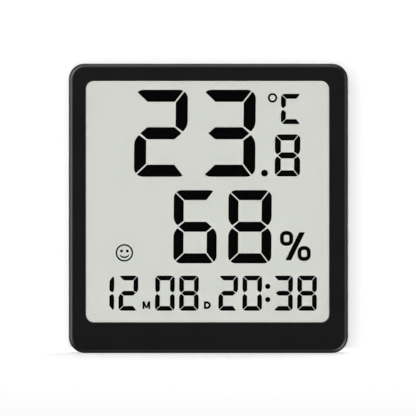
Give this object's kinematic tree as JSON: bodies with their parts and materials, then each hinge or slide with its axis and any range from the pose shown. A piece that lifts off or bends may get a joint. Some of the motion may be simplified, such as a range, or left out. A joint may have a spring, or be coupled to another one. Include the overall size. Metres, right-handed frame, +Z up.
{
  "type": "temperature humidity sensor",
  "caption": "Square black thermometer and humidity gauge with a clock on a segment display, with a battery door, setting keys, a hanging slot and a fold-out stand on its back.",
  "frame": {"origin": "under the middle of the case, on the surface that it stands on", "axes": "+X right across the display, +Y from the display to the back, +Z up"},
  "size_m": [0.076, 0.0206, 0.0789],
  "materials": {
    "case_plastic": "satin moulded black with a fine spark texture",
    "tape_foam": "thin black double-sided foam tape",
    "lens_acrylic": "clear polished acrylic",
    "polarizer_film": "clear film with a faint matt surface",
    "display_glass": "clear float glass with pale green edges",
    "cell_glue": "pale epoxy",
    "display_segments": "black display segments",
    "reflector_film": "grey-green reflector with a fine grain",
    "strip_rubber": "striped conductive rubber",
    "holder_plastic": "plain white moulded tray",
    "board_laminate": "green solder mask over glass laminate",
    "screw_steel": "zinc plated steel",
    "chip_resin": "black moulded resin",
    "plated_steel": "nickel plated steel",
    "capacitor_can": "drawn aluminium can",
    "passive_ceramic": "tan ceramic with tinned ends",
    "sensor_case": "black moulded resin",
    "switch_plastic": "steel frame over black resin",
    "plunger_plastic": "black moulded plunger",
    "button_plastic": "satin black moulded plastic",
    "cover_plastic": "satin moulded black with a fine spark texture",
    "cell_jacket": null,
    "wire_red": "red wire insulation",
    "wire_black": "black wire insulation",
    "pad_foam": "black foam strip",
    "pin_steel": "bright drawn steel wire",
    "foot_rubber": "soft black rubber"
  },
  "bodies": {
    "case": {"front_housing": "case_plastic", "lens_tape": "tape_foam", "display_lens": "lens_acrylic", "lcd_front_polarizer": "polarizer_film", "lcd_front_glass": "display_glass", "lcd_cell_seal": "cell_glue", "segments_temperature": "display_segments", "segments_humidity": "display_segments", "segments_calendar": "display_segments", "segments_clock": "display_segments", "segments_comfort_icon": "display_segments", "lcd_rear_glass": "display_glass", "lcd_reflector": "reflector_film", "contact_strip": "strip_rubber", "display_holder": "holder_plastic", "main_board": "board_laminate", "board_screws": "screw_steel", "controller_chip": "chip_resin", "clock_crystal": "plated_steel", "filter_capacitor": "capacitor_can", "board_passives": "passive_ceramic", "sensor_chip": "sensor_case", "switch_bodies": "switch_plastic", "rear_cover": "cover_plastic", "case_screws": "screw_steel", "battery_upper": "cell_jacket", "battery_lower": "cell_jacket", "bridge_contact": "plated_steel", "bridge_spring": "plated_steel", "positive_contact": "plated_steel", "negative_contact": "plated_steel", "negative_spring": "plated_steel", "battery_wire_positive": "wire_red", "battery_wire_negative": "wire_black", "stand_pin": "pin_steel"},
    "battery_door": {"battery_door": "cover_plastic", "door_foam_pad": "pad_foam"},
    "stand": {"stand_leg": "cover_plastic", "stand_foot_pad": "foot_rubber"},
    "mode_key": {"mode_button": "button_plastic", "mode_switch_plunger": "plunger_plastic"},
    "up_key": {"up_button": "button_plastic", "up_switch_plunger": "plunger_plastic"},
    "down_key": {"down_button": "button_plastic", "down_switch_plunger": "plunger_plastic"}
  },
  "joints": [
    {"name": "battery_door_slide", "type": "slide", "parent": "case", "child": "battery_door", "axis": [1, 0, 0], "range_m": [0, 0.062]},
    {"name": "stand_hinge", "type": "hinge", "parent": "case", "child": "stand", "pos_m": [0, 0.0088, 0.0335], "axis": [1, 0, 0], "range_deg": [0, 30]},
    {"name": "mode_key_press", "type": "slide", "parent": "case", "child": "mode_key", "axis": [0, -1, 0], "range_m": [0, 0.0004], "stiffness_N_per_m": 800},
    {"name": "up_key_press", "type": "slide", "parent": "case", "child": "up_key", "axis": [0, -1, 0], "range_m": [0, 0.0004], "stiffness_N_per_m": 800},
    {"name": "down_key_press", "type": "slide", "parent": "case", "child": "down_key", "axis": [0, -1, 0], "range_m": [0, 0.0004], "stiffness_N_per_m": 800}
  ]
}
